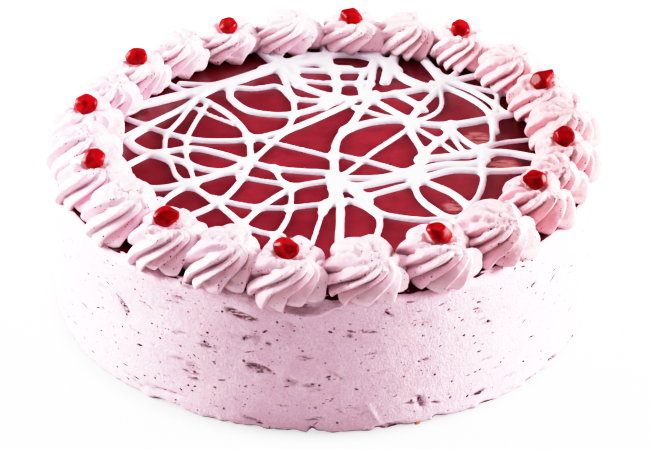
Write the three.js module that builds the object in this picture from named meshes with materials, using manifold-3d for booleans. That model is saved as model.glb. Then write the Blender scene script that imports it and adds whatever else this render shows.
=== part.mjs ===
// A round cream cake: pale pink cream side, a sheet of red jelly with an icing drizzle on top,
// a ring of piped swirl rosettes along the rim and a red berry on every second rosette.
// Millimetres, +Z up, origin in the middle of the underside.

import * as THREE from 'three';
import { mergeVertices } from 'three/addons/utils/BufferGeometryUtils.js';
import Module from 'manifold-3d';

// Driving dimensions
const cakeRadius = 120;
const cakeHeight = 64;
const touchGap = 0.3;

const jellyRadius = 116;
const jellyThickness = 4;
const rimSoftness = 3.6;
const footSoftness = 1.6;
const wallUnevenness = 0.5;
const wallColumns = 64;
const jellyColumns = 72;
const randomSeed = 24;

const ridgesPerRosette = 9;
const rosetteRings = 6;
const rosetteHeight = 15.5;
const rosetteBelly = 15.6;
const evenHalfAngle = Math.PI / 24;
const grooveFraction = 0.22;
const ridgeLean = 0.4;
const swirlTurn = THREE.MathUtils.degToRad(85);
const undercutAngle = THREE.MathUtils.degToRad(-26);
const tipAngle = THREE.MathUtils.degToRad(81);
const crownAngle = THREE.MathUtils.degToRad(64);
const seatRadius = 4.4;
const seatDepth = 4.2;
const crownLean = 1.3;
const heightSpread = 1;
const bellySpread = 0.025;
const bellyGrowth = 0.7;

const berryHalfWidth = 4.7;
const berryHalfLength = 5.3;
const berryTilt = THREE.MathUtils.degToRad(22);
const berryCentreOverCrown = 1.5;

const drizzleReach = 86.6;
const drizzleSink = 0.6;
const drizzleHeightShare = 0.42;
const drizzleTopShare = 0.3;
const drizzleStepLength = 16;

// Where each berry sits: bearing from the rear in degrees, distance from the middle, height above
// or below the usual crown. A plain rosette stands between each pair.
const berrySpots = [
  [7.3, 104, 0], [36.5, 108, 1.5], [68.9, 105.5, 0], [98.6, 104, 0], [122.1, 103, 0.8], [154.4, 106, -0.5],
  [187.4, 107.5, -1.5], [216.2, 105.5, 0], [248.5, 103, 0.3], [276.4, 105, 0], [304.7, 104, 0.3], [334.4, 104, 0],
];

// Icing strands as they were thrown across the jelly: bead width, then the points each one passes.
const drizzleStrands = [
  [3.8, [-66, 59], [-46.5, 40], [-35.5, 21], [-32, 3], [-33, -16], [-38.5, -34], [-46, -47], [-57, -57]],
  [2.0, [-58, 41], [-50, 33.5], [-40, 26]],
  [3.0, [-60, 46], [-64.5, 30], [-69.7, 15], [-69.5, 0]],
  [2.8, [-53, 46], [-57.5, 28], [-60.3, 12], [-59.6, -4], [-54.5, -28]],
  [3.8, [-84, 18], [-75, 28.5], [-64, 41], [-52, 60]],
  [3.8, [-84, 27], [-72, 18.5], [-58, 11], [-45, 9.5], [-31, 12], [-13, 22.5], [12, 46]],
  [4.2, [-79, 22], [-85, 12], [-83, 2.5], [-75, -2], [-58, 2.5], [-45, -2], [-31, -10], [-17, -16], [5, -19]],
  [4.0, [-88, -16], [-78, -5], [-72, -2]],
  [3.0, [-74, -3], [-66.5, -10], [-63, -21], [-56, -32]],
  [4.0, [-72, -3], [-61.5, -9], [-50, -16.5], [-36, -19]],
  [4.6, [-84, -31], [-69, -32.5], [-56, -27], [-43, -19], [-32, -8]],
  [3.2, [-33, -12], [-25, 4], [-16, 23], [-13.3, 42], [-16, 60], [-22, 85]],
  [3.5, [-72, -56], [-64.5, -38.5], [-55, -28.5]],
  [3.8, [-58, -28], [-49.5, -38], [-40, -51.5], [-33, -63.5], [-28, -80]],
  [3.2, [-46, -41], [-31.5, -47.3], [-18, -48.7], [-5, -46.5], [9, -43.5]],
  [3.6, [-37, -72], [-29, -53.5], [-20, -39.5], [-10, -30], [5, -25]],
  [2.8, [-36, -22.5], [-26, -25.8], [-12, -30]],
  [3.0, [-21, -14], [-18.5, -23], [-13.8, -34], [-13.7, -47], [-15.5, -60], [-22, -79]],
  [3.0, [-35, -62.5], [-25, -69], [-14, -74]],
  [2.6, [1, -44], [-1.2, -58], [-5, -81]],
  [4.8, [24, 56], [17, 40], [12.5, 26], [6.3, 12], [4.8, -6], [5.5, -26], [7.3, -47], [6.6, -82]],
  [4.0, [3, -22], [4.2, -37], [0, -51]],
  [8.5, [8, -27], [13, -33], [18.5, -42]],
  [3.8, [16, -37], [23, -51.5], [33, -56.5], [45, -58], [62, -55]],
  [3.4, [11, -42], [20, -50], [23.7, -60], [20, -80]],
  [5.5, [5, -31.5], [17, -29.5], [29, -24.5], [42, -20]],
  [3.6, [15, -41], [28, -33.3], [41, -26.5]],
  [3.8, [40, -16], [39.3, -31], [43, -44], [54, -59]],
  [4.0, [38, -22], [48.5, -30], [57, -39], [66, -58]],
  [4.2, [8, -23], [22, -23], [33, -19], [41, -12], [43.7, 0], [38.6, 24], [43.5, 42], [56, 66]],
  [3.2, [4, -1.5], [15, -6.5], [26, -12], [41, -22]],
  [2.7, [8, -21], [14.3, -12], [21.5, 0], [32, 14], [41, 26]],
  [4.2, [38, -26], [46.5, -20.5], [57, -16], [75, -16.5], [91, -14.5]],
  [5.2, [42, -6], [55, -4], [67, -0.5], [80, 0], [92, -4]],
  [5.2, [40, -16], [52, -11.5], [64, -10.5], [71, -6]],
  [3.2, [70, 5], [69, -10], [68.5, -25], [65, -39], [58, -54]],
  [5.0, [9, 20.5], [22, 28], [36, 29.7], [50, 25.5], [64, 27.5], [84, 36]],
  [4.0, [57, 27], [54.5, 16], [48, 6], [42, -6]],
  [2.6, [55, 24], [58.5, 11], [63, -3]],
  [3.0, [57, 23], [63.5, 10], [73, -2]],
  [3.0, [78, 38], [75.7, 20], [74, 9], [66, 0]],
  [2.6, [71, 5], [80, 9.5], [94, 13]],
  [2.6, [41, 23], [48.5, 14], [58, 0]],
  [5.2, [0, 49.5], [14, 50.5], [30, 55], [44, 60.5], [60, 69]],
  [4.0, [20, 53], [29.5, 41.5], [41, 27]],
  [4.2, [33, 56], [40, 49], [46, 40]],
  [3.0, [14, 42.5], [25, 35], [37, 29.5]],
  [2.4, [54, 63], [54, 47], [50.5, 37], [42, 29]],
  [5.4, [50, 67], [62, 58], [71, 47], [75.5, 36], [77, 20]],
  [5.0, [53, 78], [65, 64], [75, 51], [83, 36]],
  [3.6, [33, 77], [40, 70], [49, 62]],
  [8.5, [34, 96], [31, 82], [28.5, 68]],
  [4.0, [24, 90], [22.5, 73], [20.5, 58], [23, 48]],
  [3.4, [22, 84], [17, 70], [18, 52]],
  [4.6, [3, 86], [6, 70], [5.5, 54], [0, 42]],
  [4.0, [-16, 83], [0, 79], [20, 79.5]],
  [2.8, [-14, 70], [0, 66.8], [22, 66.5]],
  [4.4, [-23, 86], [-12, 66], [-2, 56.5], [12, 49]],
  [4.4, [-45, 70], [-43, 52], [-33, 38], [-18, 34.5], [-5, 40], [8, 51]],
  [3.2, [-50, 63], [-33, 60.5], [-21, 62.5], [-12, 50.5], [6, 48]],
  [9.0, [-70, 51], [-54, 60], [-42, 68], [-30, 77], [-17, 85], [0, 90]],
];

const creamMaterial = new THREE.MeshStandardMaterial({ color: 0xe9cbd6, roughness: 0.6, metalness: 0 });
const jellyMaterial = new THREE.MeshStandardMaterial({ color: 0x8e1c34, roughness: 0.15, metalness: 0 });
const berryMaterial = new THREE.MeshStandardMaterial({ color: 0xc20d10, roughness: 0.12, metalness: 0 });

const wasm = await Module();
wasm.setup();

// Repeatable random numbers between 0 and 1
function seededDraw(seed) {
  let state = seed;
  return () => {
    state = (state * 1664525 + 1013904223) % 4294967296;
    return state / 4294967296;
  };
}

// A closed geometry as a solid that can be joined and cut
function toSolid(geometry) {
  const bare = geometry.clone();
  bare.deleteAttribute('normal');
  bare.deleteAttribute('uv');
  const merged = mergeVertices(bare, 1e-4);
  const vertProperties = new Float32Array(merged.attributes.position.array);
  const triVerts = new Uint32Array(merged.index.array);
  return new wasm.Manifold(new wasm.Mesh({ numProp: 3, vertProperties, triVerts }));
}

function toGeometry(solid) {
  const mesh = solid.getMesh();
  const geometry = new THREE.BufferGeometry();
  geometry.setAttribute('position', new THREE.BufferAttribute(new Float32Array(mesh.vertProperties), 3));
  geometry.setIndex(new THREE.BufferAttribute(new Uint32Array(mesh.triVerts), 1));
  geometry.computeVertexNormals();
  return geometry;
}

// Moves every vertex of a geometry by a rule that takes and returns a Vector3
function reshape(geometry, rule) {
  const positions = geometry.attributes.position;
  const point = new THREE.Vector3();
  for (let i = 0; i < positions.count; i += 1) {
    point.fromBufferAttribute(positions, i);
    rule(point);
    positions.setXYZ(i, point.x, point.y, point.z);
  }
  geometry.computeVertexNormals();
  return geometry;
}

// A three.js solid of revolution or cylinder stands along Y: turn it to stand along Z
function upright(geometry) {
  return geometry.rotateX(Math.PI / 2);
}

// Cake body: upright wall with a soft rim and foot, and a shallow tray in the top for the jelly
function cakeBodyGeometry() {
  const trayFloor = cakeHeight - jellyThickness;
  const outline = [
    [0, 0],
    [cakeRadius - footSoftness, 0],
    [cakeRadius, footSoftness],
    [cakeRadius, cakeHeight * 0.28],
    [cakeRadius, cakeHeight * 0.55],
    [cakeRadius, cakeHeight * 0.8],
    [cakeRadius - rimSoftness * 0.1, cakeHeight - rimSoftness],
    [cakeRadius - rimSoftness * 0.4, cakeHeight - rimSoftness * 0.3],
    [cakeRadius - rimSoftness, cakeHeight],
    [jellyRadius, cakeHeight],
    [jellyRadius, trayFloor],
    [0, trayFloor],
  ].map(([radius, height]) => new THREE.Vector2(radius, height));
  const body = upright(new THREE.LatheGeometry(outline, wallColumns));
  return reshape(body, (point) => {
    const radius = Math.hypot(point.x, point.y);
    if (radius < jellyRadius + 1 || point.z < footSoftness / 2) return;
    const bearing = Math.atan2(point.x, point.y);
    const wave = Math.sin(3 * bearing + point.z * 0.05) + 0.6 * Math.sin(11 * bearing + point.z * 0.16);
    const grown = 1 + (wallUnevenness * wave) / (1.6 * radius) - wallUnevenness / radius;
    point.x *= grown;
    point.y *= grown;
  });
}

// One icing strand: a low bead with sloping flanks swept along its route, sunk a little in the jelly
function strandSolid([width, ...points]) {
  const route = new THREE.CatmullRomCurve3(points.map(([x, y]) => new THREE.Vector3(x, y, cakeHeight)));
  const height = Math.min(width, 5) * drizzleHeightShare;
  const section = new THREE.Shape([
    new THREE.Vector2(drizzleSink, width / 2),
    new THREE.Vector2(drizzleSink, -width / 2),
    new THREE.Vector2(-height, -width * drizzleTopShare),
    new THREE.Vector2(-height, width * drizzleTopShare),
  ]);
  const steps = Math.max(3, Math.round(route.getLength() / drizzleStepLength));
  return toSolid(new THREE.ExtrudeGeometry(section, { steps, extrudePath: route, bevelEnabled: false }));
}

// Jelly sheet with all the icing strands that lie inside the ring of rosettes
function jellyGlazeGeometry() {
  const thickness = jellyThickness - touchGap;
  const sheet = upright(
    new THREE.CylinderGeometry(jellyRadius - touchGap, jellyRadius - touchGap, thickness, jellyColumns),
  );
  sheet.translate(0, 0, cakeHeight - thickness / 2);
  const reach = upright(new THREE.CylinderGeometry(drizzleReach, drizzleReach, 4 * thickness, jellyColumns));
  reach.translate(0, 0, cakeHeight);
  const icing = drizzleStrands.map(strandSolid).reduce((joined, strand) => joined.add(strand));
  return toGeometry(toSolid(sheet).add(icing.intersect(toSolid(reach))));
}

// Star outline of the piping nozzle, its grooves set off centre so that each ridge leans on the next
function nozzleStar() {
  const pitch = (2 * Math.PI) / ridgesPerRosette;
  const star = [];
  for (let ridge = 0; ridge < ridgesPerRosette; ridge += 1) {
    star.push(new THREE.Vector2(Math.cos(ridge * pitch), Math.sin(ridge * pitch)));
    const groove = (ridge + ridgeLean) * pitch;
    star.push(new THREE.Vector2(Math.cos(groove), Math.sin(groove)).multiplyScalar(1 - grooveFraction));
  }
  return new THREE.Shape(star);
}

// Piped rosette: the nozzle star climbs over an egg-shaped belly, turning as it goes, to a tip or,
// under a berry, to a crown with a seat. Its flanks stop at the planes shared with its neighbours.
function rosetteGeometry({ belly, height, phase, lean, seated, ringRadius, halfAngles }) {
  const rings = seated ? rosetteRings + 1 : rosetteRings;
  const topAngle = seated ? crownAngle : tipAngle;
  const climb = Math.sin(topAngle) - Math.sin(undercutAngle);
  const slack = touchGap / 2;
  const rosette = new THREE.ExtrudeGeometry(nozzleStar(), { steps: rings, depth: rings, bevelEnabled: false });
  return reshape(rosette, (point) => {
    const ring = Math.min(Math.round(point.z), rosetteRings);
    const inSeat = Math.round(point.z) > rosetteRings;
    const slope = THREE.MathUtils.lerp(undercutAngle, topAngle, ring / rosetteRings);
    const rise = (Math.sin(slope) - Math.sin(undercutAngle)) / climb;
    const radius = inSeat ? seatRadius : belly * Math.cos(slope) ** 0.85;
    const turn = Math.atan2(point.y, point.x) + phase + swirlTurn * rise;
    const reach = radius * Math.hypot(point.x, point.y);
    point.x = reach * Math.cos(turn) + lean.x * rise ** 2;
    point.y = reach * Math.sin(turn) + lean.y * rise ** 2;
    point.z = height * rise - (inSeat ? seatDepth : 0);
    const room = ringRadius + point.x;
    const left = room * Math.tan(halfAngles[0]) - slack;
    const right = room * Math.tan(halfAngles[1]) - slack;
    point.y = THREE.MathUtils.clamp(point.y, -right, left);
  });
}

// Berry: a juicy many-sided grain, a little longer than wide
function berryGeometry(turn, tilt) {
  const grain = new THREE.DodecahedronGeometry(1);
  grain.scale(berryHalfWidth, berryHalfWidth, berryHalfLength);
  grain.rotateZ(turn);
  grain.rotateX(tilt);
  return grain;
}

// Stands of the rosettes round the rim: a berry spot, then the plain place half way to the next one
function rosetteStands() {
  const stands = [];
  berrySpots.forEach(([bearing, radius, lift], i) => {
    const [nextBearing, nextRadius, nextLift] = berrySpots[(i + 1) % berrySpots.length];
    const step = (nextBearing - bearing + 360) % 360;
    stands.push({ bearing, radius, lift, seated: true });
    stands.push({
      bearing: bearing + step / 2,
      radius: (radius + nextRadius) / 2,
      lift: (lift + nextLift) / 2,
      seated: false,
    });
  });
  return stands;
}

function named(geometry, material, name) {
  const mesh = new THREE.Mesh(geometry, material);
  mesh.name = name;
  return mesh;
}

const numbered = (word, index) => `${word}_${String(index + 1).padStart(2, '0')}`;

const cake = new THREE.Group();
cake.add(named(cakeBodyGeometry(), creamMaterial, 'cake_body'));
cake.add(named(jellyGlazeGeometry(), jellyMaterial, 'jelly_glaze'));

const draw = seededDraw(randomSeed);
const spreadDraw = () => 2 * draw() - 1;
const stands = rosetteStands();
const halfAngleAfter = (index) => {
  const next = stands[(index + 1) % stands.length];
  const here = stands[index];
  return THREE.MathUtils.degToRad(((next.bearing - here.bearing + 360) % 360) / 2);
};

// A berry holds its rosette upright, while a plain one varies in height and leans
stands.forEach(({ bearing, radius, lift, seated }, index) => {
  const before = (index + stands.length - 1) % stands.length;
  const halfAngles = [halfAngleAfter(before), halfAngleAfter(index)];
  const roominess = (halfAngles[0] + halfAngles[1]) / (2 * evenHalfAngle);
  const freedom = seated ? 0 : 1;
  const height = rosetteHeight + lift + freedom * heightSpread * spreadDraw();
  const lean = new THREE.Vector2(spreadDraw(), spreadDraw()).multiplyScalar(freedom * crownLean);
  const rosette = rosetteGeometry({
    belly: rosetteBelly * (1 + bellySpread * spreadDraw()) * roominess ** bellyGrowth,
    height,
    phase: draw() * Math.PI,
    lean,
    seated,
    ringRadius: radius,
    halfAngles,
  });
  const stand = new THREE.Group();
  const angle = THREE.MathUtils.degToRad(bearing);
  stand.position.set(radius * Math.sin(angle), radius * Math.cos(angle), cakeHeight + touchGap);
  stand.rotation.z = Math.PI / 2 - angle;
  stand.add(named(rosette, creamMaterial, numbered('rosette', index)));
  if (seated) {
    const grain = berryGeometry(draw() * Math.PI, spreadDraw() * berryTilt);
    const berry = named(grain, berryMaterial, numbered('berry', index / 2));
    berry.position.z = height + berryCentreOverCrown;
    stand.add(berry);
  }
  cake.add(stand);
});

export default cake;
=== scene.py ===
import math

import bmesh
import bpy
import numpy as np
from mathutils import Matrix, Vector, noise


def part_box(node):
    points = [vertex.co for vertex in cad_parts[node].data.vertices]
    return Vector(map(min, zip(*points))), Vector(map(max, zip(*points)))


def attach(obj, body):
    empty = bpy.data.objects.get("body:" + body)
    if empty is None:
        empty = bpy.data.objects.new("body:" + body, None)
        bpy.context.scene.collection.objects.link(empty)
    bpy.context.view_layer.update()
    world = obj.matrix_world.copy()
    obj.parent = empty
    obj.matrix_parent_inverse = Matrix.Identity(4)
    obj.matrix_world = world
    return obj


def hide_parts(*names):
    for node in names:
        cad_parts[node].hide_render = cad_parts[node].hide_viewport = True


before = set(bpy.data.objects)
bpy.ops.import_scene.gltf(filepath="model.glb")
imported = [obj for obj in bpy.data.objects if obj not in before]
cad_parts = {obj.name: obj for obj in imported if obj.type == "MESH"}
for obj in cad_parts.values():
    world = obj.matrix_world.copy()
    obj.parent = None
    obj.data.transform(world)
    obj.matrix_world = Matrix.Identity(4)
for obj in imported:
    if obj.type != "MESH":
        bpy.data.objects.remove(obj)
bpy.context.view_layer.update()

mm = 0.001
fullTurn = 2 * math.pi
seamGap = 0.2e-6               # points closer than this are one

# sizes that every piece shares, read from the solids
bodyLow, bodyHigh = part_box("cake_body")
cakeHeight = bodyHigh.z
cakeRadius = (bodyHigh.x - bodyLow.x) / 2
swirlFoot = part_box("rosette_01")[0].z
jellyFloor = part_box("jelly_glaze")[0].z

# ways across the cake
right = (1, 0, 0)
rear = (0, 1, 0)


def seededDraw(seed):  # repeatable numbers between 0 and 1, the same ones the solids were drawn with
    factor = 1664525
    step = 1013904223
    span = 2**32
    state = seed

    def draw():
        nonlocal state
        state = (state * factor + step) % span
        return state / span

    return draw


def lumps(points, cell, seed):  # smooth random bumps between about -1 and 1, each about a cell wide
    shift = Vector((7.31 * seed, 3.17 * seed, 5.53 * seed))
    return np.array([noise.noise(Vector(point) / cell + shift) for point in points])


def smoothStep(value, start, end):
    share = np.clip((value - start) / (end - start), 0, 1)
    return share * share * (3 - 2 * share)


def between(ends, share):
    return ends[0] + (ends[1] - ends[0]) * share


def roundPlaces(bearing, radius, height):  # bearings start at the rear and go by the right
    return np.stack([radius * np.sin(bearing), radius * np.cos(bearing), height], axis=1)


def bearingGap(bearing, other):  # within half a turn either way
    return np.angle(np.exp(1j * (bearing - other)))


# a grid rolled up into a closed skin: place(across, row) gives the points and the value that each carries
def rolledGrid(columns, rows, place, layerName):
    shape = bmesh.new()
    bmesh.ops.create_grid(shape, x_segments=columns, y_segments=rows, size=1)
    flat = (np.array([vert.co for vert in shape.verts]) + 1) / 2
    places, values = place(flat[:, 0], np.rint(flat[:, 1] * rows).astype(int))
    layer = shape.verts.layers.float.new(layerName)
    for vert, point, value in zip(shape.verts, places, values):
        vert.co = point
        vert[layer] = value
    bmesh.ops.remove_doubles(shape, verts=shape.verts, dist=seamGap)
    bmesh.ops.recalc_face_normals(shape, faces=shape.faces)
    return shape


def addPiece(name, shape, material, slot, *nodes):
    mesh = bpy.data.meshes.new(name)
    shape.to_mesh(mesh)
    shape.free()
    mesh.materials.append(material)
    mesh.shade_smooth()
    piece = bpy.data.objects.new(name, mesh)
    bpy.context.scene.collection.objects.link(piece)
    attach(piece, "root")
    if nodes:
        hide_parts(*nodes)
    return piece


# material helpers

def newMaterial(name):
    material = bpy.data.materials.new(name)
    material.use_nodes = True
    return material, material.node_tree, material.node_tree.nodes["Principled BSDF"]


def setInputs(tree, node, inputs):  # an output is linked to the socket, a plain value is set on it
    for key, value in inputs.items():
        if isinstance(value, bpy.types.NodeSocket):
            tree.links.new(value, node.inputs[key])
        else:
            node.inputs[key].default_value = value


def addNode(tree, kind, inputs=None, **settings):
    made = tree.nodes.new(kind)
    for key, value in settings.items():
        setattr(made, key, value)
    setInputs(tree, made, inputs or {})
    return made


def objectPlace(tree, stretch=(1, 1, 1)):
    coords = addNode(tree, "ShaderNodeTexCoord")
    mapping = addNode(tree, "ShaderNodeMapping", {"Vector": coords.outputs["Object"], "Scale": stretch})
    return mapping.outputs["Vector"]


def carried(tree, layerName):  # the value that a piece's points carry
    return addNode(tree, "ShaderNodeAttribute", attribute_name=layerName).outputs["Fac"]


def noiseField(tree, cell, detail=3.0, stretch=(1, 1, 1)):
    field = addNode(tree, "ShaderNodeTexNoise", {
        "Vector": objectPlace(tree, stretch),
        "Scale": 1 / cell,
        "Detail": detail,
        "Roughness": 0.6,
    })
    return field.outputs["Fac"]


def ranged(tree, value, low, high, newLow=0.0, newHigh=1.0):
    made = addNode(tree, "ShaderNodeMapRange", {
        "Value": value,
        "From Min": low,
        "From Max": high,
        "To Min": newLow,
        "To Max": newHigh,
    }, interpolation_type="SMOOTHSTEP")
    return made.outputs["Result"]


def calc(tree, operation, first, second):
    made = addNode(tree, "ShaderNodeMath", {0: first, 1: second}, operation=operation)
    return made.outputs["Value"]


def mixed(tree, share, first, second):
    colours = [(*colour, 1) if isinstance(colour, tuple) else colour for colour in (first, second)]
    made = addNode(tree, "ShaderNodeMix", {"Factor": share, 6: colours[0], 7: colours[1]}, data_type="RGBA")
    return made.outputs[2]


def alongWay(tree, way):  # how far a point lies in a direction
    made = addNode(tree, "ShaderNodeVectorMath", {0: objectPlace(tree), 1: way}, operation="DOT_PRODUCT")
    return made.outputs["Value"]


def towards(tree, way, ends, amounts):  # a change across the cake between two shares of its radius
    start, end = (share * cakeRadius for share in ends)
    return ranged(tree, alongWay(tree, way), start, end, *amounts)


sideLit = (0.15 * cakeRadius, 0.6 * cakeRadius, 0.0, 0.95)  # from where, to where, and by how much


def sideways(tree):  # towards both sides of the cake, where the light is strong
    return ranged(tree, calc(tree, "ABSOLUTE", alongWay(tree, right), 0.0), *sideLit)


speckLook = {
    "wobble": 1.6,             # how finely their edges are crooked
    "clusterCell": 11 * mm,
    "cluster": (0.40, 0.60, 0.25, 1.0),
}


def specks(tree, cell, size, share):  # crooked dots, in clusters and in only a share of the cells
    look = speckLook
    wobble = addNode(tree, "ShaderNodeTexNoise", {
        "Vector": objectPlace(tree),
        "Scale": look["wobble"] / size,
        "Detail": 2.0,
    })
    crooked = addNode(tree, "ShaderNodeVectorMath", {
        0: wobble.outputs["Color"],
        1: (size, size, size),
        2: objectPlace(tree),
    }, operation="MULTIPLY_ADD")
    cells = addNode(tree, "ShaderNodeTexVoronoi", {
        "Vector": crooked.outputs["Vector"],
        "Scale": 1 / cell,
        "Randomness": 1.0,
    })
    chance = addNode(tree, "ShaderNodeSeparateColor", {"Color": cells.outputs["Color"]})
    chosen = ranged(tree, chance.outputs["Red"], 1 - share, 1.0, 0.0, size / cell)
    cluster = ranged(tree, noiseField(tree, look["clusterCell"], 2), *look["cluster"])
    return calc(tree, "LESS_THAN", cells.outputs["Distance"], calc(tree, "MULTIPLY", chosen, cluster))


def bumped(tree, height, strength, depth):
    made = addNode(tree, "ShaderNodeBump", {"Height": height, "Strength": strength, "Distance": depth})
    return made.outputs["Normal"]


# cream: matte whipped yogurt with fruit pulp in it

# flecks and dots are given as the size of a cell, their own size and the share of cells that hold one
creamLooks = {
    "sideCream": {
        "pale": (0.92, 0.59, 0.71),
        "deep": (0.82, 0.48, 0.605),
        "fleck": (0.15, 0.045, 0.065),
        "flecks": (3.4 * mm, 0.8 * mm, 0.35),
        "dots": (1.5 * mm, 0.38 * mm, 0.25),
        "rearRightShade": 0.0,          # how much painted shade, deeper and pinker, it has at the rear right
        "rearLightPaint": 0.0,       # how much painted light lifts it at the rear
        "grain": 0.6,          # how much the fine grain shows in the colour
        "grainDepth": 0.4 * mm,
    },
    "swirlCream": {
        "pale": (0.91, 0.57, 0.665),
        "deep": (0.81, 0.465, 0.565),
        "fleck": (0.24, 0.09, 0.115),
        "flecks": (2.6 * mm, 0.58 * mm, 0.45),
        "dots": (1.3 * mm, 0.45 * mm, 0.55),
        "rearRightShade": 1.0,
        "rearLightPaint": 0.5,
        "grain": 0.35,
        "grainDepth": 0.2 * mm,
    },
}
# face, crease, deep crease and crest are painted shade and painted highlight colours, the blush ones are
# painted shade towards the rear right, rear is painted light, and side pulp is pulp painted darker against
# the strong side light; pulp and dull are the cream's own colours
creamShades = {
    "face": (0.74, 0.49, 0.55),
    "rearRightFaceShade": (0.56, 0.26, 0.28),
    "creaseShade": (0.56, 0.28, 0.33),
    "deepCreaseShade": (0.13, 0.035, 0.048),
    "crest": (0.98, 0.82, 0.88),
    "pulp": (0.17, 0.04, 0.055),
    "pulpUnderSideLight": (0.02, 0.005, 0.007),
    "dull": (0.70, 0.37, 0.48),
    "rearRightShade": (0.74, 0.33, 0.375),
    "rear": (0.95, 0.73, 0.79),
}
creamFinish = {
    "mottleCell": 9 * mm,
    "mottle": (0.3, 0.7),
    "grainCell": 0.9 * mm,
    "grain": (0.66, 0.36),
    "lumpCell": 4 * mm,
    "streakCell": 1.6 * mm,
    "streakStretch": (0.5, 0.5, 1.8),
    "streaks": (0.38, 0.56),
    # from which to which depth of the painted crease shade its three colours come in
    "faceFrom": (0.0, 0.6),
    "creaseFrom": (0.5, 0.85),
    "deepFrom": (0.80, 1.0),
    "rearRightShadeWay": (1.0, 0.25, 0),
    "rearRightShadeEnds": (-0.1, 0.8),
    "rearEnds": (0.3, 0.8),
    "bump": 0.8,
    "roughness": 0.5,
    "shine": 0.3,
    "softness": 0.08,
    "softColour": (1.0, 0.45, 0.5),
    "softDepth": 1.6 * mm,
}


def creamMaterial(name):
    look = creamLooks[name]
    finish = creamFinish
    shades = creamShades
    material, tree, shader = newMaterial(name)
    mottle = ranged(tree, noiseField(tree, finish["mottleCell"], 5), *finish["mottle"])
    colour = mixed(tree, mottle, look["deep"], look["pale"])
    fineGrain = ranged(tree, noiseField(tree, finish["grainCell"], 2), *finish["grain"])
    colour = mixed(tree, calc(tree, "MULTIPLY", fineGrain, look["grain"]), colour, shades["dull"])
    # painted shade, deeper and pinker, towards the rear right
    rearRightShade = towards(tree, finish["rearRightShadeWay"], finish["rearRightShadeEnds"], (0.0, look["rearRightShade"]))
    colour = mixed(tree, rearRightShade, colour, shades["rearRightShade"])
    # painted light that lifts the rear
    toRear = towards(tree, rear, finish["rearEnds"], (0.0, look["rearLightPaint"]))
    colour = mixed(tree, toRear, colour, shades["rear"])
    # painted shade of the faces, creases and deep creases, then the painted highlight on the crests
    creaseShade = carried(tree, "creaseShade")
    face = mixed(tree, rearRightShade, shades["face"], shades["rearRightFaceShade"])
    colour = mixed(tree, ranged(tree, creaseShade, *finish["faceFrom"]), colour, face)
    colour = mixed(tree, ranged(tree, creaseShade, *finish["creaseFrom"]), colour, shades["creaseShade"])
    colour = mixed(tree, ranged(tree, creaseShade, *finish["deepFrom"]), colour, shades["deepCreaseShade"])
    colour = mixed(tree, calc(tree, "MULTIPLY", creaseShade, -1.0), colour, shades["crest"])
    streaks = noiseField(tree, finish["streakCell"], 4, finish["streakStretch"])
    streaks = ranged(tree, streaks, *finish["streaks"])
    # the smear layer carries the dried pulp smeared on the side and the painted shadow line at its foot
    pulp = mixed(tree, sideways(tree), shades["pulp"], shades["pulpUnderSideLight"])
    colour = mixed(tree, calc(tree, "MULTIPLY", carried(tree, "smearAndShadow"), streaks), colour, pulp)
    # flecks painted darker towards the sides, against the strong light there
    fleck = mixed(tree, sideways(tree), look["fleck"], shades["pulpUnderSideLight"])
    for kind in ("flecks", "dots"):
        colour = mixed(tree, specks(tree, *look[kind]), colour, fleck)
    grain = noiseField(tree, finish["grainCell"], 3)
    grain = calc(tree, "ADD", grain, noiseField(tree, finish["lumpCell"], 2))
    setInputs(tree, shader, {
        "Base Color": colour,
        "Normal": bumped(tree, grain, finish["bump"], look["grainDepth"]),
        "Roughness": finish["roughness"],
        "Specular IOR Level": finish["shine"],
        "Subsurface Weight": finish["softness"],
        "Subsurface Radius": finish["softColour"],
        "Subsurface Scale": finish["softDepth"],
    })
    return material


# cake side: upright cream wall with a soft rim, dragged marks and torn spots

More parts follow.
